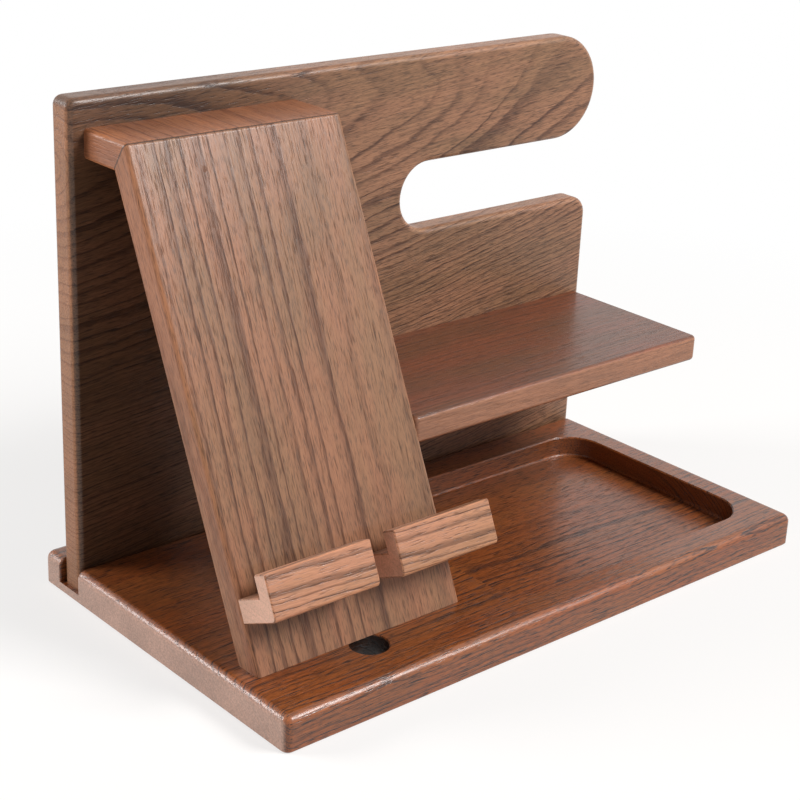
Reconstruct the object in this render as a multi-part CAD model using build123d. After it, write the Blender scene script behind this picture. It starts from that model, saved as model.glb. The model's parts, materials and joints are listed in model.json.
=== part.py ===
from build123d import *
import os
from math import atan2, cos, sin

# Wooden phone and watch dock. Millimetres, +Z up, +X to the viewer's right, +Y to the rear.
# Origin: centre of the base board's underside.

os.makedirs("parts", exist_ok=True)

# ---------------------------------------------------------------- driving dimensions
# Base board
BASE_W = 300.0          # left to right
BASE_D = 173.0          # front to rear
BASE_T = 15.5           # thickness
BASE_TOP_R = 4.0        # rounding of the upper edges
BASE_LOW_CUT = 0.8      # chamfer of the lower edges
BASE_CORNER_R = 3.5     # rounding of the upright corners

# Groove in the base board for the back panel
GROOVE_CLEAR = 0.25     # gap on each side of the panel
GROOVE_FLOOR_T = 4.5    # wood left under the groove
REAR_STRIP = 12.5       # wood left behind the groove
LIP_R = 2.0             # rounding of the groove's front lip
LIP_REAR_R = 1.0        # rounding of the groove's rear lip

# Tray recess in the base board
TRAY_SIDE = 14.0        # rim left at the right end of the board
TRAY_FRONT = 15.5       # rim left at the front of the board
TRAY_REAR = 17.0        # wood left between the tray and the groove
TRAY_OFF_STAND = 20.0   # from the stand's right side to the tray
TRAY_FLOOR_T = 5.2      # wood left under the tray
TRAY_R = 17.0           # corners, seen from above
TRAY_FLOOR_R = 1.5      # fillet between floor and wall
RIM_CUT = 0.6           # chamfer round the tray and round both ends of the lead hole

# Back panel with the watch arm
PANEL_T = 13.0          # thickness
PANEL_INSET = 2.0       # from the base's left end to the panel, which is flush at the right
PANEL_TOP = 217.5       # height of the top edge above the table
PANEL_R = 3.0           # rounding of the edges of both faces
PANEL_CORNER_R = 4.0    # upper left corner
ARM_H = 50.0            # height of the watch arm, whose end is a half circle
SLOT_H = 31.8           # open height of the slot under the arm, whose end is a half circle
SLOT_LEN = 123.8        # from the panel's right end to the end of the slot
TONGUE_R = 9.0          # upper right corner of the tongue under the slot

# Shelf, stand top plate and stand board
STOCK_T = 12.5          # thickness of all three
SHELF_CLEAR = 58.0      # open height between the base board and the shelf
SHELF_INSET = 3.0       # from the panel's right end to the shelf
SHELF_OFF_STAND = 2.0   # from the stand's right side to the shelf
SHELF_D = 82.0          # panel face to the shelf's front
SHELF_R = 2.0           # rounding of the upper and lower edges
SHELF_CORNER_R = 3.0    # front corners, seen from above
STAND_INSET = 7.0       # from the panel's left end to the stand
STAND_W = 105.0         # left to right
STAND_DROP = 12.0       # from the panel's top edge down to the top plate
STAND_REACH = 28.85     # panel face to the outer corner of the mitre
FOOT_SETBACK = 29.8     # from the base's front edge to the front of the stand's foot
STAND_R = 2.0           # rounding of the long edges
MITRE_R = 2.5           # rounding of the outer corner at the mitre

# Phone rests
REST_UP = 21.5          # lower face of the rests, measured up the board from its foot
REST_LEDGE_T = 10.0     # thickness of the ledge that carries the phone
REST_CHANNEL = 14.5     # clear depth of the channel for the phone
REST_FENCE_T = 7.5      # thickness of the fence in front of the phone
REST_H = 19.0           # height of the fence from the rest's lower face
REST_LEN = 51.5         # length of each rest
REST_GAP = 12.0         # gap between the two rests for the charging lead
REST_BEVEL = 1.5        # bevel along the lower front edge
REST_CUT = 0.5          # chamfer of the other free edges

# Lead hole through the base board, partly under the stand's foot
HOLE_R = 8.0            # radius
HOLE_FROM_SIDE = 51.5   # centre, from the stand's left side
HOLE_AHEAD = 4.8        # centre, in front of the foot's front edge

# Dowels that hold the shelf and the stand to the panel
DOWEL_R = 3.0           # radius
DOWEL_FREE = 8.0        # length that stands out of the board
DOWEL_FIXED = 14.0      # length that is glued into the board
DOWEL_CLEAR = 0.10      # radial gap in the panel's hole
DOWEL_END_GAP = 0.6     # gap past the dowel's tip at the bottom of its hole
DOWEL_CHAMFER = 0.6     # chamfer at both ends
STAND_DOWEL_INSET = 26.0    # dowel axis from the side of the stand's top plate
SHELF_DOWEL_INSET = 30.0    # dowel axis from the end of the shelf

SEAT_GAP = 0.05         # gap where a loose piece bears on its neighbour

# ---------------------------------------------------------------- derived positions
base_right = BASE_W / 2
base_rear = BASE_D / 2

groove_rear = base_rear - REAR_STRIP
groove_front = groove_rear - PANEL_T - 2 * GROOVE_CLEAR

panel_rear = groove_rear - GROOVE_CLEAR
panel_front = panel_rear - PANEL_T
panel_foot = GROOVE_FLOOR_T + SEAT_GAP
panel_left = -base_right + PANEL_INSET
panel_right = base_right
seat_y = panel_front - SEAT_GAP

arm_r = ARM_H / 2
arm_low = PANEL_TOP - ARM_H
slot_r = SLOT_H / 2
tongue_top = arm_low - SLOT_H
slot_end_x = panel_right - SLOT_LEN

stand_left = panel_left + STAND_INSET
stand_right = stand_left + STAND_W
stand_top = PANEL_TOP - STAND_DROP
stand_foot = BASE_T + SEAT_GAP
mitre_y = panel_front - STAND_REACH
foot_front = -base_rear + FOOT_SETBACK
lean = atan2(mitre_y - foot_front, stand_top - stand_foot)
foot_rear = foot_front + STOCK_T / cos(lean)
inner_y = mitre_y + STOCK_T * (1 - sin(lean)) / cos(lean)

shelf_left = stand_right + SHELF_OFF_STAND
shelf_right = panel_right - SHELF_INSET
shelf_front = panel_front - SHELF_D
shelf_low = BASE_T + SHELF_CLEAR
shelf_top = shelf_low + STOCK_T

tray_left = stand_right + TRAY_OFF_STAND
tray_right = base_right - TRAY_SIDE
tray_front = -base_rear + TRAY_FRONT
tray_rear = groove_front - TRAY_REAR

hole_x = stand_left + HOLE_FROM_SIDE
hole_y = foot_front - HOLE_AHEAD

stand_dowel_xs = (stand_left + STAND_DOWEL_INSET, stand_right - STAND_DOWEL_INSET)
stand_dowel_z = stand_top - STOCK_T / 2
shelf_dowel_xs = (shelf_left + SHELF_DOWEL_INSET, shelf_right - SHELF_DOWEL_INSET)
shelf_dowel_z = shelf_low + STOCK_T / 2
dowel_tip = panel_front + DOWEL_FREE
dowel_end = panel_front - DOWEL_FIXED

TOL = 0.01              # two coordinates closer than this are the same
CUT_OVER = 1.0          # how far a cutting tool stands past the face it opens


# ---------------------------------------------------------------- helpers
def near(a, b):
    """True when two coordinates are the same."""
    return abs(a - b) < TOL


def level(edge):
    """True for an edge that lies at one height."""
    extent = edge.bounding_box()
    return near(extent.min.Z, extent.max.Z)


def box(x0, x1, y0, y1, z0, z1):
    """Axis-aligned block between two corners."""
    centre = Pos((x0 + x1) / 2, (y0 + y1) / 2, (z0 + z1) / 2)
    return centre * Box(x1 - x0, y1 - y0, z1 - z0)


def prism_x(points, x0, x1):
    """Prism along X with the given (y, z) outline."""
    plane = Plane(origin=(x0, 0, 0), x_dir=(0, 1, 0), z_dir=(1, 0, 0))
    return extrude(plane * make_face(Polyline(*points, close=True).edges()), x1 - x0)


def rod_y(x, y0, y1, z, radius, end_chamfer=0.0):
    """Round rod along Y from y0 to y1."""
    rod = Cylinder(radius, y1 - y0)
    if end_chamfer:
        rod = chamfer(rod.edges().filter_by(GeomType.CIRCLE), end_chamfer)
    return Pos(x, (y0 + y1) / 2, z) * Rot(90, 0, 0) * rod


def dowel_pair(xs, z):
    """Two dowels, glued into a board and standing out of it to the rear."""
    return Compound([rod_y(x, dowel_end, dowel_tip, z, DOWEL_R, DOWEL_CHAMFER) for x in xs])


def bore_for_dowels(board, xs, z):
    """Blind holes in a board's rear edge, as deep and as wide as the glued dowels."""
    for x in xs:
        board = board - rod_y(x, dowel_end, panel_front + CUT_OVER, z, DOWEL_R)
    return board


# ---------------------------------------------------------------- base board
def rims_at(solid, z):
    """Outlines of the openings in the widest face at height z."""
    faces = [f for f in solid.faces().filter_by(Axis.Z) if near(f.center().Z, z)]
    widest = max(faces, key=lambda f: f.area)
    return [e for wire in widest.inner_wires() for e in wire.edges()]


def lip_edge(solid, y):
    """Upper edge of the groove wall at y."""
    return [e for e in solid.edges().filter_by(Axis.X)
            if near(e.center().Y, y) and near(e.center().Z, BASE_T)]


def make_base():
    """Rounded board with the panel groove, the tray recess and the lead hole."""
    base = box(-base_right, base_right, -base_rear, base_rear, 0, BASE_T)
    base = fillet(base.edges().filter_by(Axis.Z), BASE_CORNER_R)
    base = fillet(base.faces().sort_by(Axis.Z)[-1].edges(), BASE_TOP_R)
    base = chamfer(base.faces().sort_by(Axis.Z)[0].edges(), BASE_LOW_CUT)

    # The groove runs the whole length, so both of its ends are open.
    base = base - box(-base_right - CUT_OVER, base_right + CUT_OVER,
                      groove_front, groove_rear, GROOVE_FLOOR_T, BASE_T + CUT_OVER)
    base = fillet(lip_edge(base, groove_front), LIP_R)
    base = fillet(lip_edge(base, groove_rear), LIP_REAR_R)

    tray = box(tray_left, tray_right, tray_front, tray_rear, TRAY_FLOOR_T, BASE_T + CUT_OVER)
    tray = fillet(tray.edges().filter_by(Axis.Z), TRAY_R)
    tray = fillet(tray.faces().sort_by(Axis.Z)[0].edges(), TRAY_FLOOR_R)
    hole = Pos(hole_x, hole_y, BASE_T / 2) * Cylinder(HOLE_R, BASE_T + 2 * CUT_OVER)
    base = base - tray - hole
    return chamfer(rims_at(base, BASE_T) + rims_at(base, 0), RIM_CUT)


# ---------------------------------------------------------------- back panel
def panel_outline():
    """Front view: a wide board whose upper right half is cut to an arm over an open slot."""
    left = Line((panel_left, panel_foot), (panel_left, PANEL_TOP))
    top = Line(left @ 1, (panel_right - arm_r, PANEL_TOP))
    arm_end = ThreePointArc(
        top @ 1, (panel_right, PANEL_TOP - arm_r), (panel_right - arm_r, arm_low))
    arm_under = Line(arm_end @ 1, (slot_end_x + slot_r, arm_low))
    slot_end = ThreePointArc(
        arm_under @ 1, (slot_end_x, arm_low - slot_r), (slot_end_x + slot_r, tongue_top))
    tongue = Line(slot_end @ 1, (panel_right, tongue_top))
    right = Line(tongue @ 1, (panel_right, panel_foot))
    foot = Line(right @ 1, left @ 0)
    return [left, top, arm_end, arm_under, slot_end, tongue, right, foot]


def corner_edge(solid, x, z):
    """Edge through the panel's thickness at a corner of its outline."""
    return [e for e in solid.edges().filter_by(Axis.Y)
            if near(e.center().X, x) and near(e.center().Z, z)]


def make_panel():
    """Panel with every edge above its foot rounded, and blind holes for the dowels."""
    front_view = Plane(origin=(0, panel_rear, 0), x_dir=(1, 0, 0), z_dir=(0, -1, 0))
    panel = extrude(front_view * make_face(panel_outline()), PANEL_T)
    panel = fillet(corner_edge(panel, panel_left, PANEL_TOP), PANEL_CORNER_R)
    panel = fillet(corner_edge(panel, panel_right, tongue_top), TONGUE_R)

    rims = []
    for e in panel.edges():
        extent = e.bounding_box()
        on_a_face = near(extent.min.Y, extent.max.Y)
        if on_a_face and not near(e.center().Z, panel_foot):
            rims.append(e)
    panel = fillet(rims, PANEL_R)

    holes = [(x, stand_dowel_z) for x in stand_dowel_xs]
    holes += [(x, shelf_dowel_z) for x in shelf_dowel_xs]
    for x, z in holes:
        panel = panel - rod_y(x, panel_front - CUT_OVER, dowel_tip + DOWEL_END_GAP, z,
                              DOWEL_R + DOWEL_CLEAR)
    return panel


# ---------------------------------------------------------------- shelf
def make_shelf():
    """Shelf with rounded front corners and rounded edges, square where it meets the panel."""
    shelf = box(shelf_left, shelf_right, shelf_front, seat_y, shelf_low, shelf_top)
    front_corners = [e for e in shelf.edges().filter_by(Axis.Z)
                     if near(e.center().Y, shelf_front)]
    shelf = fillet(front_corners, SHELF_CORNER_R)
    rims = [e for e in shelf.edges() if level(e) and not near(e.center().Y, seat_y)]
    shelf = fillet(rims, SHELF_R)
    return bore_for_dowels(shelf, shelf_dowel_xs, shelf_dowel_z)


# ---------------------------------------------------------------- phone stand
def make_stand():
    """Top plate and leaning board: one rounded profile, parted along the mitre."""
    stand = prism_x([
        (seat_y, stand_top),
        (mitre_y, stand_top),
        (foot_front, stand_foot),
        (foot_rear, stand_foot),
        (inner_y, stand_top - STOCK_T),
        (seat_y, stand_top - STOCK_T),
    ], stand_left, stand_right)
    crest = [e for e in stand.edges().filter_by(Axis.X)
             if near(e.center().Y, mitre_y) and near(e.center().Z, stand_top)]
    stand = fillet(crest, MITRE_R)
    long_edges = []
    for e in stand.edges():
        extent = e.bounding_box()
        on_a_side = near(extent.min.X, extent.max.X)
        at_panel = near(extent.min.Y, seat_y)
        at_foot = near(extent.max.Z, stand_foot)
        if on_a_side and not at_panel and not at_foot:
            long_edges.append(e)
    stand = fillet(long_edges, STAND_R)

    across_mitre = Vector(0, inner_y - mitre_y, -STOCK_T).normalized()
    mitre = Plane(origin=(stand_left, mitre_y, stand_top), x_dir=(1, 0, 0),
                  z_dir=Vector(1, 0, 0).cross(across_mitre))
    halves = [stand.split(mitre, keep=side) for side in (Keep.TOP, Keep.BOTTOM)]
    board, top_plate = sorted(halves, key=lambda half: half.center().Z)
    return board, bore_for_dowels(top_plate, stand_dowel_xs, stand_dowel_z)


# ---------------------------------------------------------------- phone rests
# u runs up the board's front face from its foot, v stands square out of that face.
def from_board(u, v):
    """(y, z) of the point at (u, v)."""
    y = foot_front + u * sin(lean) - v * cos(lean)
    z = stand_foot + u * cos(lean) + v * sin(lean)
    return y, z


def to_board(y, z):
    """(u, v) of the point at (y, z)."""
    along_y = y - foot_front
    along_z = z - stand_foot
    return along_y * sin(lean) + along_z * cos(lean), along_z * sin(lean) - along_y * cos(lean)


def make_rest(x0, x1):
    """L-shaped rest: a ledge square to the board and a fence standing up at its front."""
    ledge = REST_UP + REST_LEDGE_T
    tip = REST_UP + REST_H
    out = REST_CHANNEL + REST_FENCE_T
    outline = [
        (REST_UP, 0),
        (ledge, 0),
        (ledge, REST_CHANNEL),
        (tip, REST_CHANNEL),
        (tip, out),
        (REST_UP + REST_BEVEL, out),
        (REST_UP, out - REST_BEVEL),
    ]
    rest = prism_x([from_board(u, v) for u, v in outline], x0, x1)
    free_edges = []
    for e in rest.edges():
        u, v = to_board(e.center().Y, e.center().Z)
        against_board = near(v, 0)
        inner_corner = near(u, ledge) and near(v, REST_CHANNEL)
        if not against_board and not inner_corner:
            free_edges.append(e)
    return chamfer(free_edges, REST_CUT)


# ---------------------------------------------------------------- output
stand_board, stand_top_plate = make_stand()
rest_right_x0 = stand_left + REST_LEN + REST_GAP
pieces = {
    "base_board": make_base(),
    "back_panel": make_panel(),
    "shelf": make_shelf(),
    "shelf_dowels": dowel_pair(shelf_dowel_xs, shelf_dowel_z),
    "stand_top_plate": stand_top_plate,
    "stand_board": stand_board,
    "stand_dowels": dowel_pair(stand_dowel_xs, stand_dowel_z),
    "phone_rest_left": make_rest(stand_left, stand_left + REST_LEN),
    "phone_rest_right": make_rest(rest_right_x0, rest_right_x0 + REST_LEN),
}
for name, piece in pieces.items():
    export_step(piece, "parts/" + name + ".step")
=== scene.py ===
import json
import math

import bmesh
import bpy
from bpy.props import FloatProperty, FloatVectorProperty, IntProperty, PointerProperty
from mathutils import Matrix, Vector


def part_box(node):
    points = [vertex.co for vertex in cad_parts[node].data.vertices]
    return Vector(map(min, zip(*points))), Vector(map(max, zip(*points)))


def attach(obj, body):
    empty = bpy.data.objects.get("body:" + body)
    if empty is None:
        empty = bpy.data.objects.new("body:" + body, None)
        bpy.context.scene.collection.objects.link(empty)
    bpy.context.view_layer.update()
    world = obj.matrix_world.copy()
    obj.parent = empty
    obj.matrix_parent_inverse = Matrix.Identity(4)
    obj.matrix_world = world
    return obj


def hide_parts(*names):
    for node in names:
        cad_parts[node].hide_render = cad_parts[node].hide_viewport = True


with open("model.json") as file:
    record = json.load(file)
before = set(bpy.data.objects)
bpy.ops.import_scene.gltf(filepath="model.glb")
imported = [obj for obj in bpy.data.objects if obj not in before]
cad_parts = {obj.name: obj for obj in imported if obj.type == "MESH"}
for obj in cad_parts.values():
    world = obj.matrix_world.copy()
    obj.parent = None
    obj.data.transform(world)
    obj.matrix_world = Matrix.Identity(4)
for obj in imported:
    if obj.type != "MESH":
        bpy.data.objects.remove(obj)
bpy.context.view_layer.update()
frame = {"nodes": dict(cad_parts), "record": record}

bl_info = {
    "name": "Wooden phone and watch dock",
    "version": (1, 0, 0),
    "blender": (4, 5, 0),
    "location": "3D View > Sidebar > Dock",
    "description": "Lacquered ash boards, beech dowels and a plain studio for the docking stand",
    "category": "Object",
}

MM = 0.001
PER_MM = 1000.0
# Points of a CAD mesh that are closer than this, in metres, are welded into one.
WELD = 1e-6
# Faces that meet at less than the flat angle become one, and at more than the sharp angle keep a hard edge.
FLAT_ANGLE = math.radians(0.3)
SHARP_ANGLE = math.radians(32)
# How strongly large faces set the shading at their edges, where 50 goes by their area alone.
FACE_WEIGHT = 95

# The leaning board stands 25 degrees off upright. Its own directions, in the row frame:
LEAN = math.radians(25.0)
UP_SLOPE = Vector((0, math.sin(LEAN), math.cos(LEAN)))
OUT_OF_FACE = Vector((0, -math.cos(LEAN), math.sin(LEAN)))
ALONG_X = Vector((1, 0, 0))
ALONG_Y = Vector((0, 1, 0))
UP = Vector((0, 0, 1))
# The outer corner of the phone stand's mitre, and the lead hole's centre and radius, in mm.
MITRE_CORNER = (0, 31.9, 205.5)
LEAD_HOLE, LEAD_HOLE_RADIUS = (-89.5, -61.5, 0), 8.0


def linear(hex_colour):
    """An sRGB hex colour as the linear values that shaders take."""
    values = [int(hex_colour[i:i + 2], 16) / 255 for i in (1, 3, 5)]
    return tuple(v / 12.92 if v <= 0.04045 else ((v + 0.055) / 1.055) ** 2.4 for v in values)


def colour(name, text, hex_colour):
    """A property for a colour, with its default as sRGB hex."""
    return FloatVectorProperty(name=name, description=text, subtype="COLOR", size=3, min=0, max=1,
                               default=linear(hex_colour))


def distance(name, text, mm):
    """A property for a length, with its default in mm."""
    return FloatProperty(name=name, description=text, subtype="DISTANCE", unit="LENGTH", min=0,
                         default=mm * MM)


# The kinds of node that are used most.
MATH, VECTOR, RANGE = "ShaderNodeMath", "ShaderNodeVectorMath", "ShaderNodeMapRange"
MIX, NOISE, MAPPING = "ShaderNodeMix", "ShaderNodeTexNoise", "ShaderNodeMapping"


def add(tree, kind, inputs=None, **settings):
    """Adds a node, with its settings and inputs. A socket is linked, and a node by its first live output."""
    node = tree.nodes.new(kind)
    for key, value in settings.items():
        setattr(node, key, value)
    for key, value in (inputs or {}).items():
        if isinstance(value, bpy.types.Node):
            value = next(socket for socket in value.outputs if socket.enabled)
        if isinstance(value, bpy.types.NodeSocket):
            tree.links.new(value, node.inputs[key])
        else:
            node.inputs[key].default_value = value
    return node


def new_material(name):
    """An empty node material, and its tree."""
    material = bpy.data.materials.new(name)
    material.use_nodes = True
    material.node_tree.nodes.clear()
    return material, material.node_tree


# ---------------------------------------------------------------- settings

class DOCK_PG_base(bpy.types.PropertyGroup):
    late: colour("Late wood", "Stained wood between the pore bands", "#935226")
    blush: colour("Blush", "Redder patches of the late wood", "#8b481e")
    early: colour("Pore bands", "Stain held by the porous early wood", "#371608")
    end: colour("End grain", "Sanded end grain at the short edges", "#bd9886")
    ring: distance("Ring width", "Growth ring spacing", 2.3)


class DOCK_PG_panel(bpy.types.PropertyGroup):
    late: colour("Late wood", "Stained wood between the pore bands", "#926a4c")
    blush: colour("Blush", "Redder patches of the late wood", "#966a4e")
    early: colour("Pore bands", "Stain held by the porous early wood", "#46220f")
    end: colour("End grain", "Sanded end grain at the short edges", "#a4683f")
    ring: distance("Ring width", "Growth ring spacing near the heart", 5.0)
    outer_ring: distance("Outer ring width", "Ring spacing of the slow late growth", 1.9)


class DOCK_PG_shelf(bpy.types.PropertyGroup):
    late: colour("Late wood", "Stained wood between the pore bands", "#6f3f20")
    blush: colour("Blush", "Redder patches of the late wood", "#753c1f")
    early: colour("Pore bands", "Stain held by the porous early wood", "#482312")
    end: colour("End grain", "Sanded end grain at the short edges", "#a67254")
    ring: distance("Ring width", "Growth ring spacing", 3.2)


class DOCK_PG_stand(bpy.types.PropertyGroup):
    late: colour("Late wood", "Stained wood between the pore bands", "#966a49")
    blush: colour("Blush", "Redder patches of the late wood", "#9a6748")
    early: colour("Pore bands", "Stain held by the porous early wood", "#5c3217")
    end: colour("Side grain", "Sanded edges of the board", "#a06342")
    plate_late: colour("Plate late wood", "Stained wood of the top plate", "#995e3b")
    plate_blush: colour("Plate blush", "Redder patches of the top plate", "#a0623c")
    plate_early: colour("Plate pore bands", "Pore bands of the top plate", "#6f3c26")
    ring: distance("Ring width", "Growth ring spacing", 5.6)


class DOCK_PG_rests(bpy.types.PropertyGroup):
    late: colour("Late wood", "Stained wood between the pore bands", "#bc8560")
    blush: colour("Blush", "Redder patches of the late wood", "#c08565")
    early: colour("Pore bands", "Stain held by the porous early wood", "#5b3216")
    end: colour("End grain", "Sanded end grain", "#e0b39c")
    ring: distance("Ring width", "Growth ring spacing", 3.6)


class DOCK_PG_dowels(bpy.types.PropertyGroup):
    wood: colour("Beech", "Bare steamed beech", "#cda37b")
    fleck: colour("Ray flecks", "Short dark rays of beech", "#a5734c")
    diameter: distance("Diameter", "Diameter of a dowel", 6.0)
    chamfer: distance("Chamfer", "Chamfer at both ends", 0.6)
    flute_depth: distance("Flute depth", "Depth of the glue flutes", 0.22)
    flutes: IntProperty(name="Flutes", description="Glue flutes round a dowel", min=6, max=30, default=18)


class DOCK_PG_studio(bpy.types.PropertyGroup):
    key: FloatProperty(name="Key", description="Power of the soft light at the front right",
                       subtype="POWER", unit="POWER", min=0, default=44.0)
    side: FloatProperty(name="Side", description="Power of the soft light at the rear left",
                        subtype="POWER", unit="POWER", min=0, default=13.0)
    ambient: FloatProperty(name="Room light", description="Strength of the even light of the white room",
                           subtype="FACTOR", min=0, max=1, default=0.13)
    floor: colour("Floor", "Pale tabletop", "#dedad6")


class DOCK_PG_settings(bpy.types.PropertyGroup):
    base: PointerProperty(type=DOCK_PG_base)
    panel: PointerProperty(type=DOCK_PG_panel)
    shelf: PointerProperty(type=DOCK_PG_shelf)
    stand: PointerProperty(type=DOCK_PG_stand)
    rests: PointerProperty(type=DOCK_PG_rests)
    dowels: PointerProperty(type=DOCK_PG_dowels)
    studio: PointerProperty(type=DOCK_PG_studio)


# ---------------------------------------------------------------- materials

# The traits of ash as noise: the length of its cells along the grain and their width across it, in mm, and
# how many finer layers it has. Slits and dashes are a little wider than real pores, so that they show.
TRUNK_BENDS = (90, 34, 2)
RING_WAVES = (16, 6, 2)
TORN_EDGES = (18, 1.5, 2)
PORE_SLITS = (8, 0.55, 1)
FINE_DASHES = (4, 0.35, 1)
STAIN_PATCHES = (60, 18, 3)
FIBRES = (35, 0.8, 3)
# Most of a noise lies between these two values.
NOISE_LOW, NOISE_HIGH = 0.3, 0.7

# The small waves of a ring reach this far, in mm.
WAVE_REACH = 1.2
# Uneven growth and torn edges shift a ring by up to so many ring widths.
UNEVEN_GROWTH, TORN_REACH = 1.4, 0.3
# How often the growth changes, in noise cells per ring.
GROWTH_CHANGE = 0.6
# Early wood across a ring, from its start at 0 to its end at 1. Both ends are half way up the sharp edge.
RING_EDGE = 0.5
RING_PROFILE = ((0.04, 1.0), (0.13, 0.85), (0.26, 0.22), (0.5, 0.04), (0.94, 0.0))
# How strong the early wood of the weakest year is.
WEAKEST_YEAR = 0.65
# The bands grow faint as the rings turn flat to the face, between these two cosines.
FLAT_FROM, FLAT_TO, FAINTEST = 0.88, 0.995, 0.2

# Pores and fibres leave out this share of the grain's slope out of the face.
INTO_FACE = 0.9
# The noise at which slits and dashes open, and what early wood adds to that of the slits.
SLIT_FROM, SLIT_TO, EARLY_SLITS = 0.58, 0.72, 0.13
DASH_FROM, DASH_TO = 0.5, 0.68
# A surface turns to end grain between these cosines of its normal's angle from the grain, up to the share.
END_FROM, END_TO, END_SHARE = 0.75, 0.95, 0.95
# A surface turns to a board's side between these squared cosines of its normal's angle from the face's.
SIDE_FROM, SIDE_TO = 0.5, 0.05
# How much the patches lighten and darken the stain, and the noise at which they turn redder.
PATCH_CHANGE = 0.12
BLUSH_FROM, BLUSH_TO = 0.4, 0.6
# The stain in the slits, as shares of the early wood's red, green and blue.
SLIT_STAIN = (0.6, 0.55, 0.45)
# The paler stain of the sanded ends sets in over this length, in mm.
SANDING_FADE = 1
# The painted seam shade's half width, its half width with its soft edge, in mm, and its level.
SEAM_SHADE_HALF, SEAM_SHADE_SOFT, SEAM_SHADE_LEVEL = 0.2, 0.5, 0.25
# The soft edge of the painted shade round a hole, in mm, and its level in the hole.
HOLE_SHADE_FADE, HOLE_SHADE_LEVEL = 0.5, 0.12

# The lacquer sinks into slits and early wood, by these shares of the relief, which is in mm.
SLIT_SINK, EARLY_SINK, RELIEF, RELIEF_STRENGTH = 0.8, 0.5, 0.12, 0.6
# The stained wood's roughness, and what an open slit adds to it.
WOOD_ROUGHNESS, SLIT_ROUGHER = 0.5, 0.2
LACQUER_IOR, LACQUER_ROUGHNESS, LACQUER_SPECULAR = 1.5, 0.22, 0.3

# Beech: its flecks' width and length in mm, the noise at which they show, its roughness and theirs, its
# IOR, and its relief, in mm and as the bump's strength.
FLECK_WIDTH, FLECK_LENGTH = 0.3, 2
FLECK_FROM, FLECK_TO = 0.55, 0.7
BEECH_ROUGHNESS, FLECK_ROUGHNESS = 0.62, 0.75
BEECH_IOR, BEECH_RELIEF, BEECH_STRENGTH = 1.5, 0.05, 0.5


def grain_noise(tree, place, trait):
    """Noise with the cells of one of the traits above, at a place in mm whose X runs along the grain."""
    long, wide, layers = trait
    at = add(tree, MAPPING, {"Vector": place, "Scale": (1 / long, 1 / wide, 1 / wide)})
    return add(tree, NOISE, {"Vector": at, "Scale": 1.0, "Detail": layers}).outputs


def growth_rings(tree, log, face, ring, outer_from, outer_ring, wander):
    """The early wood of the growth rings, from 0 to 1: sharp at a ring's start, then fading into late wood.
    Where the rings lie flat in the face, the bands spread and grow faint."""
    # The trunk's slow bends, and the small waves of each ring.
    slow = grain_noise(tree, log, TRUNK_BENDS)["Color"]
    small = grain_noise(tree, log, RING_WAVES)["Color"]
    bent = add(tree, VECTOR, {0: slow, 1: (0, wander, wander), 2: log}, operation="MULTIPLY_ADD")
    waved = add(tree, VECTOR, {0: small, 1: (0, WAVE_REACH, WAVE_REACH), 2: bent}, operation="MULTIPLY_ADD")
    across = add(tree, VECTOR, {0: waved, 1: (0, 1, 1)}, operation="MULTIPLY")
    radius = add(tree, VECTOR, {0: across}, operation="LENGTH")

    # The count of rings from the heart, with uneven widths and torn edges.
    count = add(tree, MATH, {0: radius, 1: 1 / ring}, operation="MULTIPLY")
    if outer_ring:
        past = add(tree, MATH, {0: radius, 1: outer_from}, operation="SUBTRACT")
        past = add(tree, MATH, {0: past, 1: 0.0}, operation="MAXIMUM")
        count = add(tree, MATH, {0: past, 1: 1 / outer_ring - 1 / ring, 2: count}, operation="MULTIPLY_ADD")
    uneven = add(tree, NOISE, {"W": count, "Scale": GROWTH_CHANGE, "Detail": 1.0}, noise_dimensions="1D")
    count = add(tree, MATH, {0: uneven, 1: UNEVEN_GROWTH, 2: count}, operation="MULTIPLY_ADD")
    torn = grain_noise(tree, log, TORN_EDGES)[0]
    count = add(tree, MATH, {0: torn, 1: TORN_REACH, 2: count}, operation="MULTIPLY_ADD")

    in_ring = add(tree, MATH, {0: count}, operation="FRACT")
    band = add(tree, "ShaderNodeValToRGB", {"Fac": in_ring})
    stops = band.color_ramp.elements
    stops[0].color = stops[1].color = (RING_EDGE, RING_EDGE, RING_EDGE, 1)
    for position, level in RING_PROFILE:
        stops.new(position).color = (level, level, level, 1)
    which = add(tree, MATH, {0: count}, operation="FLOOR")
    year = add(tree, "ShaderNodeTexWhiteNoise", {"W": which}, noise_dimensions="1D")
    strength = add(tree, RANGE, {"Value": year, "To Min": WEAKEST_YEAR})
    early_part = add(tree, MATH, {0: band, 1: strength}, operation="MULTIPLY")

    flat = add(tree, VECTOR, {0: across, 1: face}, operation="DOT_PRODUCT")
    flat = add(tree, MATH, {0: flat}, operation="ABSOLUTE")
    flat = add(tree, MATH, {0: flat, 1: radius}, operation="DIVIDE")
    clear = add(tree, RANGE, {
        "Value": flat, "From Min": FLAT_FROM, "From Max": FLAT_TO, "To Min": 1.0, "To Max": FAINTEST})
    return add(tree, MATH, {0: early_part, 1: clear}, operation="MULTIPLY")


def pore_slits(tree, fibres, early_part):
    """Open pores, from 0 to 1: many slits in the early wood and few in the late wood."""
    noise = grain_noise(tree, fibres, PORE_SLITS)[0]
    pore = add(tree, MATH, {0: early_part, 1: EARLY_SLITS, 2: noise}, operation="MULTIPLY_ADD")
    return add(tree, RANGE, {"Value": pore, "From Min": SLIT_FROM, "From Max": SLIT_TO})


def end_grain(tree, place, grain):
    """How far the surface is end grain: there its normal runs with the grain."""
    facing = add(tree, VECTOR, {0: place["Normal"], 1: grain}, operation="DOT_PRODUCT")
    facing = add(tree, MATH, {0: facing}, operation="ABSOLUTE")
    return add(tree, RANGE, {
        "Value": facing, "From Min": END_FROM, "From Max": END_TO, "To Max": END_SHARE})


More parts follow.
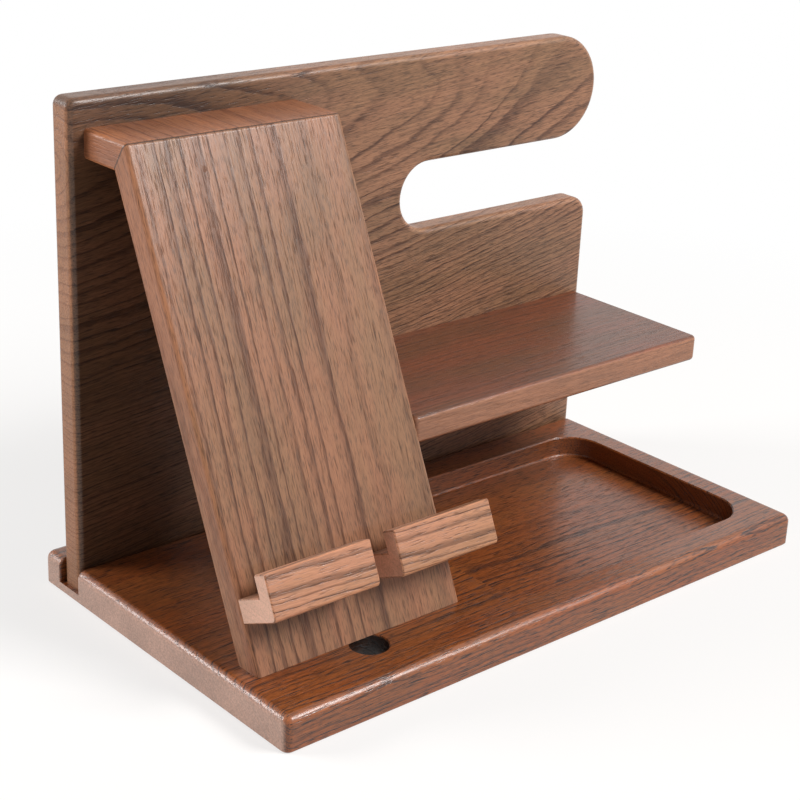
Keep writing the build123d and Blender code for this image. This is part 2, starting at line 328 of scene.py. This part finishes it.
def outer_ends(tree, place, sanded_from):
    """1 at the object's left and right ends, more than sanded_from mm from its middle, and else 0."""
    along = add(tree, "ShaderNodeSeparateXYZ", {0: place["Object"]})
    away = add(tree, MATH, {0: along}, operation="ABSOLUTE")
    return add(tree, RANGE, {
        "Value": away, "From Min": (sanded_from - SANDING_FADE) * MM, "From Max": sanded_from * MM})


def painted_left_shade(tree, place, on_end, left, right, level):
    """Painted shade, as the stain's level: 1 at the right and lower at the left, two places along X in mm.
    The end grain of the sanded end keeps its own."""
    along = add(tree, "ShaderNodeSeparateXYZ", {0: place["Object"]})
    fade = add(tree, RANGE, {
        "Value": along, "From Min": left * MM, "From Max": right * MM, "To Min": level})
    return add(tree, MATH, {0: fade, 1: on_end}, operation="MAXIMUM")


def painted_seam_shade(tree, place, point, normal):
    """Painted shade in a seam, as the stain's level: a dark line along the plane through the point, at
    right angles to the normal.
    """
    away = add(tree, VECTOR, {0: place["Object"], 1: tuple(c * MM for c in point)}, operation="SUBTRACT")
    away = add(tree, VECTOR, {0: away, 1: normal}, operation="DOT_PRODUCT")
    away = add(tree, MATH, {0: away}, operation="ABSOLUTE")
    return add(tree, RANGE, {
        "Value": away, "From Min": SEAM_SHADE_HALF * MM, "From Max": SEAM_SHADE_SOFT * MM, "To Min": SEAM_SHADE_LEVEL})


def painted_hole_shade(tree, place, centre, radius):
    """Painted shade in a hole drilled straight down, as the stain's level: the wall is almost black."""
    away = add(tree, VECTOR, {0: place["Object"], 1: tuple(c * MM for c in centre)}, operation="SUBTRACT")
    away = add(tree, VECTOR, {0: away, 1: (1, 1, 0)}, operation="MULTIPLY")
    away = add(tree, VECTOR, {0: away}, operation="LENGTH")
    return add(tree, RANGE, {
        "Value": away, "From Min": radius * MM, "From Max": (radius + HOLE_SHADE_FADE) * MM,
        "To Min": HOLE_SHADE_LEVEL})


def satin_ash(name, look, grain, heart, face, ring, outer_from=400.0, outer_ring=0.0, wander=6.0,
              bands=0.9, pores=0.6, dashes=0.3, streaks=0.12, sides=0.4, ends=0.85, gloss=0.4, wear_and_highlight=1.2,
              sanded_from=None, left_shade=None, seam=None, hole=None):
    """Ash with a walnut stain under satin lacquer, sawn from a log: the growth rings are cylinders round
    the heart line, so that faces, edges and end grain of a board agree. Lengths are in mm.

    look holds the late, blush, early and end colours. grain is the heart line's direction and heart is a
    point of it, face is the board's thickness direction, ring is the ring spacing, past outer_from from
    the heart it is outer_ring, and wander is how far the trunk bends.
    bands, pores, dashes and streaks say how dark the early wood, slits, fine dashes and fibres are, sides
    and ends how pale sanding left them, gloss how thick the lacquer is, and worn how much lighter rounded
    edges are, from stain rubbed through and painted highlight. sanded_from, deeper, seam and hole are what
    outer_ends, painted_left_shade, painted_seam_shade and painted_hole_shade take; the last three paint
    shade."""
    material, tree = new_material(name)
    late, blush, early, end = ((*tint, 1) for tint in look)
    in_slits = (*(share * part for share, part in zip(SLIT_STAIN, early)), 1)
    grain = grain.normalized()
    turn = grain.rotation_difference(ALONG_X)
    place = add(tree, "ShaderNodeTexCoord").outputs
    log = add(tree, MAPPING, {
        "Vector": place["Object"], "Scale": (PER_MM,) * 3, "Rotation": turn.to_euler(),
        "Location": -(turn @ Vector(heart))})
    # Pores and fibres run almost in the face, so that they show as dashes and streaks.
    in_face = (grain - INTO_FACE * grain.dot(face) * face).normalized()
    fibres = add(tree, MAPPING, {
        "Vector": place["Object"], "Scale": (PER_MM,) * 3,
        "Rotation": in_face.rotation_difference(ALONG_X).to_euler()})

    early_part = growth_rings(tree, log, turn @ face, ring, outer_from, outer_ring, wander)
    slit = pore_slits(tree, fibres, early_part)
    on_end = end_grain(tree, place, grain)
    patch = grain_noise(tree, fibres, STAIN_PATCHES)[0]
    fibre = grain_noise(tree, fibres, FIBRES)[0]
    # 1 on the board's faces and 0 on its sides.
    flat = add(tree, VECTOR, {0: place["Normal"], 1: face}, operation="DOT_PRODUCT")
    flat = add(tree, MATH, {0: flat, 1: flat}, operation="MULTIPLY")

    # Sanding leaves the board's sides and, above all, its end grain paler and plainer.
    plain_end = add(tree, MATH, {0: on_end, 1: ends}, operation="MULTIPLY")
    if sanded_from:
        past = outer_ends(tree, place, sanded_from)
        plain_end = add(tree, MATH, {0: plain_end, 1: past}, operation="MULTIPLY")
    on_side = add(tree, RANGE, {"Value": flat, "From Min": SIDE_FROM, "From Max": SIDE_TO, "To Max": sides})
    paler = add(tree, MATH, {0: plain_end, 1: on_side}, operation="MAXIMUM")

    redder = add(tree, RANGE, {"Value": patch, "From Min": BLUSH_FROM, "From Max": BLUSH_TO})
    banded = add(tree, MATH, {0: early_part, 1: bands}, operation="MULTIPLY")
    open_pore = add(tree, MATH, {0: slit, 1: pores}, operation="MULTIPLY")
    tone = late
    for part, tint in ((redder, blush), (banded, early), (open_pore, in_slits), (paler, end)):
        tone = add(tree, MIX, {"Factor": part, "A": tone, "B": tint}, data_type="RGBA")

    # The stain takes unevenly, in patches and streaks of fibre. Fine dashes are stained darker, except on
    # end grain, and the rounded edges are lighter, from stain rubbed through and painted highlight.
    level = add(tree, RANGE, {
        "Value": patch, "From Min": NOISE_LOW, "From Max": NOISE_HIGH,
        "To Min": 1 - PATCH_CHANGE, "To Max": 1 + PATCH_CHANGE})
    streak = add(tree, RANGE, {
        "Value": fibre, "From Min": NOISE_LOW, "From Max": NOISE_HIGH,
        "To Min": 1 - streaks, "To Max": 1 + streaks})
    dash = add(tree, RANGE, {
        "Value": grain_noise(tree, fibres, FINE_DASHES)[0], "From Min": DASH_FROM, "From Max": DASH_TO,
        "To Min": 1.0, "To Max": 1 - dashes})
    dash = add(tree, MATH, {0: dash, 1: on_end}, operation="MAXIMUM")
    # Rounded edges: lighter from stain rubbed through, and from painted highlight.
    off_face = add(tree, MATH, {0: 1.0, 1: flat}, operation="SUBTRACT")
    edge = add(tree, MATH, {0: flat, 1: off_face}, operation="MULTIPLY")
    edge_wear_and_highlight = add(tree, MATH, {0: edge, 1: wear_and_highlight, 2: 1.0}, operation="MULTIPLY_ADD")
    changes = [streak, dash, edge_wear_and_highlight]
    # Painted shade, darker towards the left end.
    if left_shade:
        changes.append(painted_left_shade(tree, place, on_end, *left_shade))
    # Painted shade along a seam.
    if seam:
        changes.append(painted_seam_shade(tree, place, *seam))
    # Painted shade in a hole.
    if hole:
        changes.append(painted_hole_shade(tree, place, *hole))
    for change in changes:
        level = add(tree, MATH, {0: level, 1: change}, operation="MULTIPLY")
    tone = add(tree, VECTOR, {0: tone, "Scale": level}, operation="SCALE")

    height = add(tree, MATH, {0: slit, 1: -SLIT_SINK, 2: fibre}, operation="MULTIPLY_ADD")
    height = add(tree, MATH, {0: early_part, 1: -EARLY_SINK, 2: height}, operation="MULTIPLY_ADD")
    bump = add(tree, "ShaderNodeBump", {
        "Height": height, "Strength": RELIEF_STRENGTH, "Distance": RELIEF * MM})
    rough = add(tree, MATH, {0: slit, 1: SLIT_ROUGHER, 2: WOOD_ROUGHNESS}, operation="MULTIPLY_ADD")
    skin = add(tree, "ShaderNodeBsdfPrincipled", {
        "Base Color": tone, "Roughness": rough, "Normal": bump, "IOR": LACQUER_IOR,
        "Specular IOR Level": LACQUER_SPECULAR, "Coat Weight": gloss, "Coat IOR": LACQUER_IOR,
        "Coat Roughness": LACQUER_ROUGHNESS, "Coat Normal": bump})
    add(tree, "ShaderNodeOutputMaterial", {"Surface": skin})
    return material


def bare_beech(name, wood, fleck):
    """Bare steamed beech, sawn across its rays: even and pale, with short dark flecks along Y."""
    material, tree = new_material(name)
    place = add(tree, "ShaderNodeTexCoord").outputs["Object"]
    at = add(tree, MAPPING, {
        "Vector": place, "Scale": (PER_MM / FLECK_WIDTH, PER_MM / FLECK_LENGTH, PER_MM / FLECK_WIDTH)})
    rays = add(tree, NOISE, {"Vector": at, "Scale": 1.0, "Detail": 1.0})
    some = add(tree, RANGE, {"Value": rays, "From Min": FLECK_FROM, "From Max": FLECK_TO})
    tone = add(tree, MIX, {"Factor": some, "A": (*wood, 1), "B": (*fleck, 1)}, data_type="RGBA")
    bump = add(tree, "ShaderNodeBump", {
        "Height": rays, "Strength": BEECH_STRENGTH, "Distance": BEECH_RELIEF * MM})
    rough = add(tree, RANGE, {"Value": some, "To Min": BEECH_ROUGHNESS, "To Max": FLECK_ROUGHNESS})
    skin = add(tree, "ShaderNodeBsdfPrincipled", {
        "Base Color": tone, "Roughness": rough, "Normal": bump, "IOR": BEECH_IOR})
    add(tree, "ShaderNodeOutputMaterial", {"Surface": skin})
    return material


# ---------------------------------------------------------------- pieces

def smooth_faces(work):
    """Shades all faces smoothly, and keeps the steep edges hard."""
    for face in work.faces:
        face.smooth = True
    for edge in work.edges:
        edge.smooth = edge.calc_face_angle() < SHARP_ANGLE


def welded_board(node, name, material):
    """The board as CAD made it, welded and shaded so that its roundings run smoothly into its faces."""
    source = frame["nodes"][node].data
    mesh = bpy.data.meshes.new(name)
    mesh.from_pydata([v.co[:] for v in source.vertices], [], [p.vertices[:] for p in source.polygons])
    work = bmesh.new()
    work.from_mesh(mesh)
    bmesh.ops.remove_doubles(work, verts=work.verts, dist=WELD)
    bmesh.ops.dissolve_limit(work, angle_limit=FLAT_ANGLE, verts=work.verts, edges=work.edges)
    loose = [e for e in work.edges if not e.is_manifold]
    if loose:
        raise RuntimeError(f"{node} has {len(loose)} open edges after welding")
    smooth_faces(work)
    work.to_mesh(mesh)
    work.free()
    mesh.materials.append(material)
    board = bpy.data.objects.new(name, mesh)
    bpy.context.collection.objects.link(board)
    even = board.modifiers.new("face weighted normals", "WEIGHTED_NORMAL")
    even.keep_sharp = True
    even.weight = FACE_WEIGHT
    return plain_mesh(board)


def plain_mesh(piece):
    """The piece with its modifiers worked into its mesh."""
    graph = bpy.context.evaluated_depsgraph_get()
    mesh = bpy.data.meshes.new_from_object(piece.evaluated_get(graph), depsgraph=graph)
    piece.modifiers.clear()
    piece.data = mesh
    mesh.name = piece.name
    return piece


def seat(piece, node):
    """The piece stands for its CAD node, which it hides, and rides with the node's body."""
    bodies = frame["record"]["behaviour"]["bodies"]
    body = next(b for b, nodes in bodies.items() if node in nodes)
    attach(piece, body)
    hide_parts(node)


DOWELS_IN_ROW = 2
# A dowel's points round it for each flute, and its segments along it: two chamfers and the shank.
POINTS_PER_FLUTE, SEGMENTS = 6.0, 3
# The higher the power, the narrower a flute is.
FLUTE_POWER = 3.0
# The share of half a dowel's length past which a point lies on its end.
AT_END = 0.99


def dowel_tree():
    """Geometry nodes: a row of dowels along X, each with flutes for the glue and chamfered ends."""
    tree = bpy.data.node_groups.new("fluted dowels", "GeometryNodeTree")
    tree.interface.new_socket("Geometry", in_out="OUTPUT", socket_type="NodeSocketGeometry")
    for name, kind in (("Diameter", "Float"), ("Length", "Float"), ("Chamfer", "Float"),
                       ("Flute depth", "Float"), ("Flutes", "Int"), ("Count", "Int"),
                       ("Spacing", "Float"), ("First", "Vector"), ("Wood", "Material")):
        tree.interface.new_socket(name, in_out="INPUT", socket_type="NodeSocket" + kind)
    given = add(tree, "NodeGroupInput").outputs
    radius = add(tree, MATH, {0: given["Diameter"], 1: 0.5}, operation="MULTIPLY")
    half = add(tree, MATH, {0: given["Length"], 1: 0.5}, operation="MULTIPLY")
    around = add(tree, MATH, {0: given["Flutes"], 1: POINTS_PER_FLUTE}, operation="MULTIPLY")
    blank = add(tree, "GeometryNodeMeshCylinder", {
        "Vertices": around, "Side Segments": SEGMENTS, "Radius": radius, "Depth": given["Length"]})
    at = add(tree, "ShaderNodeSeparateXYZ", {0: add(tree, "GeometryNodeInputPosition")}).outputs
    # A flute is a narrow dip of the radius.
    turn = add(tree, MATH, {0: at["Y"], 1: at["X"]}, operation="ARCTAN2")
    turn = add(tree, MATH, {0: turn, 1: given["Flutes"]}, operation="MULTIPLY")
    wave = add(tree, MATH, {0: turn}, operation="COSINE")
    wave = add(tree, MATH, {0: wave, 1: 0.5, 2: 0.5}, operation="MULTIPLY_ADD")
    dip = add(tree, MATH, {0: wave, 1: FLUTE_POWER}, operation="POWER")
    share = add(tree, MATH, {0: given["Flute depth"], 1: radius}, operation="DIVIDE")
    dip = add(tree, MATH, {0: dip, 1: share}, operation="MULTIPLY")
    wide = add(tree, MATH, {0: 1.0, 1: dip}, operation="SUBTRACT")
    # The end rings draw in by the chamfer, and the inner rings move out to where it starts.
    away = add(tree, MATH, {0: at["Z"]}, operation="ABSOLUTE")
    near_end = add(tree, MATH, {0: half, 1: AT_END}, operation="MULTIPLY")
    at_end = add(tree, MATH, {0: away, 1: near_end}, operation="GREATER_THAN")
    taper = add(tree, MATH, {0: given["Chamfer"], 1: radius}, operation="DIVIDE")
    taper = add(tree, MATH, {0: taper, 1: at_end}, operation="MULTIPLY")
    wide = add(tree, MATH, {0: wide, 1: taper}, operation="SUBTRACT")
    inner = add(tree, MATH, {0: 1.0, 1: at_end}, operation="SUBTRACT")
    inner = add(tree, MATH, {0: inner, 1: given["Chamfer"]}, operation="MULTIPLY")
    reach = add(tree, MATH, {0: half, 1: inner}, operation="SUBTRACT")
    side = add(tree, MATH, {0: at["Z"]}, operation="SIGN")
    moved = add(tree, "ShaderNodeCombineXYZ", {
        "X": add(tree, MATH, {0: at["X"], 1: wide}, operation="MULTIPLY"),
        "Y": add(tree, MATH, {0: at["Y"], 1: wide}, operation="MULTIPLY"),
        "Z": add(tree, MATH, {0: side, 1: reach}, operation="MULTIPLY")})
    pin = add(tree, "GeometryNodeSetPosition", {"Geometry": blank, "Position": moved})
    laid = add(tree, "GeometryNodeTransform", {"Geometry": pin, "Rotation": (math.pi / 2, 0, 0)})
    step = add(tree, "ShaderNodeCombineXYZ", {"X": given["Spacing"]})
    row = add(tree, "GeometryNodeMeshLine", {
        "Count": given["Count"], "Start Location": given["First"], "Offset": step})
    placed = add(tree, "GeometryNodeInstanceOnPoints", {"Points": row, "Instance": laid})
    real = add(tree, "GeometryNodeRealizeInstances", {"Geometry": placed})
    done = add(tree, "GeometryNodeSetMaterial", {"Geometry": real, "Material": given["Wood"]})
    add(tree, "NodeGroupOutput", {"Geometry": done})
    return tree


def dowel_row(name, tree, node, wood, sizes):
    """The dowels of one node, made by the tree in the box that CAD gives them."""
    low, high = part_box(node)
    values = {
        "Diameter": sizes.diameter, "Length": high.y - low.y, "Chamfer": sizes.chamfer,
        "Flute depth": sizes.flute_depth, "Flutes": sizes.flutes, "Count": DOWELS_IN_ROW,
        "Spacing": high.x - low.x - sizes.diameter,
        "First": (low.x + sizes.diameter / 2, (low.y + high.y) / 2, (low.z + high.z) / 2), "Wood": wood,
    }
    piece = bpy.data.objects.new(name, bpy.data.meshes.new(name))
    bpy.context.collection.objects.link(piece)
    grow = piece.modifiers.new("dowels", "NODES")
    grow.node_group = tree
    for socket in tree.interface.items_tree:
        if socket.in_out == "INPUT":
            grow[socket.identifier] = values[socket.name]
    plain_mesh(piece)
    work = bmesh.new()
    work.from_mesh(piece.data)
    smooth_faces(work)
    work.to_mesh(piece.data)
    work.free()
    seat(piece, node)


def tints(look):
    """The colours of a board's settings, as satin_ash takes them."""
    return look.late, look.blush, look.early, look.end


class DOCK_OT_base(bpy.types.Operator):
    """Makes the base board with its tray, groove and lead hole."""
    bl_idname = "dock.base"
    bl_label = "Base board"

    def execute(self, context):
        look = context.scene.dock.base
        # The darkest and glossiest board: broken dark pore dashes on orange-brown, and a pale, dull end.
        # Painted shade darkens the wall of the lead hole.
        wood = satin_ash("Ash base board, walnut stain, satin lacquer", tints(look), face=UP,
                         grain=Vector((1, 0.01, 0.015)), heart=(0, 25, -85), ring=look.ring / MM, wander=7,
                         bands=0.95, pores=0.95, dashes=0.6, streaks=0.22, sides=0.0, gloss=0.8,
                         sanded_from=145, hole=(LEAD_HOLE, LEAD_HOLE_RADIUS))
        seat(welded_board("base_board", "base_board_wood", wood), "base_board")
        return {"FINISHED"}


class DOCK_OT_panel(bpy.types.Operator):
    """Makes the back panel with the watch arm, the slot and the tongue."""
    bl_idname = "dock.panel"
    bl_label = "Back panel"

    def execute(self, context):
        look = context.scene.dock.panel
        # Wide arches over the arm, fine close lines over the tongue, and painted shade dims the left end.
        wood = satin_ash("Ash back panel, walnut stain, satin lacquer", tints(look), face=ALONG_Y,
                         grain=Vector((1, 0.2, 0.1)), heart=(0, 106, 208), ring=look.ring / MM,
                         outer_from=88, outer_ring=look.outer_ring / MM, wander=8,
                         bands=0.9, dashes=0.45, streaks=0.24, ends=0.5, left_shade=(-100, 0, 0.5))
        seat(welded_board("back_panel", "back_panel_wood", wood), "back_panel")
        return {"FINISHED"}


class DOCK_OT_shelf(bpy.types.Operator):
    """Makes the small shelf."""
    bl_idname = "dock.shelf"
    bl_label = "Shelf"

    def execute(self, context):
        look = context.scene.dock.shelf
        # Almost plain red-brown, which mirrors the room softly at its open right end, and a tan front.
        wood = satin_ash("Ash shelf, walnut stain, satin lacquer", tints(look), face=UP,
                         grain=Vector((1, 0.03, 0.01)), heart=(0, 130, 30), ring=look.ring / MM, wander=8,
                         bands=0.6, pores=0.5, streaks=0.2, sides=0.8, gloss=0.6)
        seat(welded_board("shelf", "shelf_wood", wood), "shelf")
        return {"FINISHED"}


class DOCK_OT_stand(bpy.types.Operator):
    """Makes the phone stand: the leaning board and the top plate, mitred together."""
    bl_idname = "dock.stand"
    bl_label = "Phone stand"

    def execute(self, context):
        look = context.scene.dock.stand
        # The mitre halves the corner between the level plate and the leaning board.
        slant = math.pi / 4 - LEAN / 2
        mitre = (MITRE_CORNER, Vector((0, math.cos(slant), math.sin(slant))))
        # Tan brown with thin dark lines down its left two thirds, plain on the right, a thin pale line along
        # its edges where the lacquer catches light, partly as painted highlight, and painted shade at the
        # mitre.
        wood = satin_ash("Ash leaning board, walnut stain, satin lacquer", tints(look), face=OUT_OF_FACE,
                         grain=UP_SLOPE + 0.02 * ALONG_X, heart=(-52, 22.6, 91.0),
                         ring=look.ring / MM, wander=3, bands=1.0, dashes=0.45, gloss=0.35, wear_and_highlight=1.6,
                         seam=mitre)
        seat(welded_board("stand_board", "stand_board_wood", wood), "stand_board")
        # Redder than the leaning board, with soft streaks from front to back, and painted shade at the
        # mitre.
        plate = (look.plate_late, look.plate_blush, look.plate_early, look.end)
        wood = satin_ash("Ash top plate, walnut stain, satin lacquer", plate, face=UP, grain=ALONG_Y,
                         heart=(-52, 45, 171.5), ring=look.ring / MM, wander=5, bands=0.6, pores=0.5,
                         streaks=0.2, seam=mitre)
        seat(welded_board("stand_top_plate", "stand_top_plate_wood", wood), "stand_top_plate")
        return {"FINISHED"}


class DOCK_OT_rests(bpy.types.Operator):
    """Makes the two L-shaped rests that hold a phone's lower edge."""
    bl_idname = "dock.rests"
    bl_label = "Phone rests"

    def execute(self, context):
        look = context.scene.dock.rests
        # The palest wood: a few dark lines along each rest, and plain pinkish end grain.
        wood = satin_ash("Ash phone rests, walnut stain, satin lacquer", tints(look), face=OUT_OF_FACE,
                         grain=Vector((1, 0.01, -0.03)), heart=(0, -40, -40), ring=look.ring / MM,
                         wander=3, bands=1.0, dashes=0.2, sides=0.1)
        for side in ("left", "right"):
            node = "phone_rest_" + side
            seat(welded_board(node, node + "_wood", wood), node)
        return {"FINISHED"}


class DOCK_OT_dowels(bpy.types.Operator):
    """Makes the fluted beech dowels that hold the shelf and the phone stand to the panel."""
    bl_idname = "dock.dowels"
    bl_label = "Dowels"

    def execute(self, context):
        look = context.scene.dock.dowels
        # Dry and even, clearly paler than the stained boards when a joint is drawn apart.
        wood = bare_beech("Beech dowel, bare", look.wood, look.fleck)
        tree = dowel_tree()
        dowel_row("shelf_dowel_pins", tree, "shelf_dowels", wood, look)
        dowel_row("stand_dowel_pins", tree, "stand_dowels", wood, look)
        return {"FINISHED"}


# ---------------------------------------------------------------- stage

# The camera that was fitted to the photograph: place in mm, angles in degrees, focal length in pixels of
# an image 800 pixels wide.
CAMERA_PLACE = (-499.98, -532.38, 371.67)
CAMERA_YAW, CAMERA_PITCH, CAMERA_ROLL = 41.794, -21.880, 2.626
FOCAL_PIXELS, IMAGE_PIXELS, SENSOR_MM = 1787.2, 800, 36.0
# The camera leaves out what is nearer than this, in metres.
NEAREST_SEEN = 0.01

# The soft lights' places, widths and heights, and the place that they face, in metres.
LIT_PLACE = (0, 0, 0.09)
KEY_PLACE, KEY_SIZE = (0.85, -1.3, 1.5), (0.8, 0.8)
SIDE_PLACE, SIDE_SIZE = (-1.0, 0.8, 0.6), (0.6, 0.5)

# The tabletop reaches this far from the object's middle, and turns white between the other two, in metres.
TABLE_REACH, WHITE_FROM, WHITE_TO = 4.0, 0.24, 0.6
# Near the object it shows as this share of its matt shade, and this much plain white glow.
MATT_SHARE, NEAR_GLOW = 0.45, 0.68


def fitted_camera():
    """The camera at the photograph's viewing angle."""
    yaw, pitch, roll = (math.radians(a) for a in (CAMERA_YAW, CAMERA_PITCH, CAMERA_ROLL))
    ahead = Vector((math.sin(yaw) * math.cos(pitch), math.cos(yaw) * math.cos(pitch), math.sin(pitch)))
    side = ahead.cross(UP).normalized()
    over = side.cross(ahead)
    right = side * math.cos(roll) + over * math.sin(roll)
    top = over * math.cos(roll) - side * math.sin(roll)
    camera = bpy.data.objects.new("camera", bpy.data.cameras.new("camera"))
    camera.matrix_world = Matrix.Translation(Vector(CAMERA_PLACE) * MM) @ Matrix(
        (right, top, -ahead)).transposed().to_4x4()
    camera.data.sensor_width = SENSOR_MM
    camera.data.lens = FOCAL_PIXELS * SENSOR_MM / IMAGE_PIXELS
    camera.data.clip_start = NEAREST_SEEN
    return camera


def softbox(name, place, aim, size, power):
    """A soft rectangular light that faces the place aim, and is hidden from the camera."""
    lamp = bpy.data.lights.new(name, "AREA")
    lamp.shape = "RECTANGLE"
    lamp.size, lamp.size_y = size
    lamp.energy = power
    lit = bpy.data.objects.new(name, lamp)
    back = (Vector(place) - Vector(aim)).normalized()
    lit.matrix_world = Matrix.Translation(place) @ back.to_track_quat("Z", "Y").to_matrix().to_4x4()
    lit.visible_camera = False
    bpy.context.collection.objects.link(lit)


def seen_directly(tree):
    """1 for rays from the camera and for mirrored or transmitted ones, 0 for light on the object."""
    path = add(tree, "ShaderNodeLightPath").outputs
    seen = add(tree, MATH, {0: path["Is Camera Ray"], 1: path["Is Glossy Ray"]}, operation="MAXIMUM")
    return add(tree, MATH, {0: seen, 1: path["Is Transmission Ray"]}, operation="MAXIMUM")


def white_room(strength):
    """An even white room, which shows at full white and lights the object less."""
    world = bpy.data.worlds.new("white room")
    bpy.context.scene.world = world
    world.use_nodes = True
    tree = world.node_tree
    tree.nodes.clear()
    level = add(tree, RANGE, {"Value": seen_directly(tree), "To Min": strength})
    glow = add(tree, "ShaderNodeBackground", {"Color": (1, 1, 1, 1), "Strength": level})
    add(tree, "ShaderNodeOutputWorld", {"Surface": glow})


def tabletop(shade):
    """A matt laminate tabletop: it holds the object's shadow, and turns white away from the object."""
    material, tree = new_material("Matt laminate tabletop")
    place = add(tree, "ShaderNodeTexCoord").outputs["Object"]
    far = add(tree, VECTOR, {0: place}, operation="LENGTH")
    matt = add(tree, "ShaderNodeBsdfDiffuse", {"Color": (*shade, 1)})
    dim_matt = add(tree, "ShaderNodeBsdfDiffuse", {"Color": (*(MATT_SHARE * c for c in shade), 1)})
    glow = add(tree, "ShaderNodeEmission", {"Color": (1, 1, 1, 1), "Strength": NEAR_GLOW})
    near = add(tree, "ShaderNodeAddShader", {0: dim_matt, 1: glow})
    white = add(tree, "ShaderNodeEmission", {"Color": (1, 1, 1, 1), "Strength": 1.0})
    fade = add(tree, RANGE, {"Value": far, "From Min": WHITE_FROM, "From Max": WHITE_TO})
    shown = add(tree, "ShaderNodeMixShader", {0: fade, 1: near, 2: white})
    skin = add(tree, "ShaderNodeMixShader", {0: seen_directly(tree), 1: matt, 2: shown})
    add(tree, "ShaderNodeOutputMaterial", {"Surface": skin})
    mesh = bpy.data.meshes.new("tabletop")
    corners = [(x * TABLE_REACH, y * TABLE_REACH, 0) for x, y in ((-1, -1), (1, -1), (1, 1), (-1, 1))]
    mesh.from_pydata(corners, [], [(0, 1, 2, 3)])
    mesh.materials.append(material)
    floor = bpy.data.objects.new("tabletop", mesh)
    bpy.context.collection.objects.link(floor)


class DOCK_OT_stage(bpy.types.Operator):
    """Makes the tabletop, the white room, the lights and the camera."""
    bl_idname = "dock.stage"
    bl_label = "Stage"

    def execute(self, context):
        look = context.scene.dock.studio
        # A matt, near white top, on which only the soft shadow shows.
        tabletop(look.floor)
        white_room(look.ambient)
        softbox("key light", KEY_PLACE, LIT_PLACE, KEY_SIZE, look.key)
        softbox("side light", SIDE_PLACE, LIT_PLACE, SIDE_SIZE, look.side)
        camera = fitted_camera()
        context.collection.objects.link(camera)
        context.scene.camera = camera
        context.scene.view_settings.view_transform = "Standard"
        return {"FINISHED"}


class DOCK_PT_sidebar(bpy.types.Panel):
    """Lists the steps, each with its settings."""
    bl_idname = "DOCK_PT_sidebar"
    bl_label = "Phone and watch dock"
    bl_space_type = "VIEW_3D"
    bl_region_type = "UI"
    bl_category = "Dock"

    def draw(self, context):
        for step, group in STEPS:
            box = self.layout.box()
            box.operator(step.bl_idname)
            settings = getattr(context.scene.dock, group)
            for name in settings.__annotations__:
                box.prop(settings, name)


STEPS = (
    (DOCK_OT_base, "base"),
    (DOCK_OT_panel, "panel"),
    (DOCK_OT_shelf, "shelf"),
    (DOCK_OT_stand, "stand"),
    (DOCK_OT_rests, "rests"),
    (DOCK_OT_dowels, "dowels"),
    (DOCK_OT_stage, "studio"),
)
CLASSES = (
    DOCK_PG_base, DOCK_PG_panel, DOCK_PG_shelf, DOCK_PG_stand, DOCK_PG_rests, DOCK_PG_dowels,
    DOCK_PG_studio, DOCK_PG_settings, *(step for step, _ in STEPS), DOCK_PT_sidebar,
)


def register():
    for item in CLASSES:
        bpy.utils.register_class(item)
    bpy.types.Scene.dock = PointerProperty(type=DOCK_PG_settings)


def unregister():
    del bpy.types.Scene.dock
    for item in reversed(CLASSES):
        bpy.utils.unregister_class(item)


def main():
    """Makes the pieces and the stage."""
    register()
    for step, _ in STEPS:
        getattr(bpy.ops.dock, step.bl_idname.split(".")[1])()


if __name__ == "__main__":
    main()
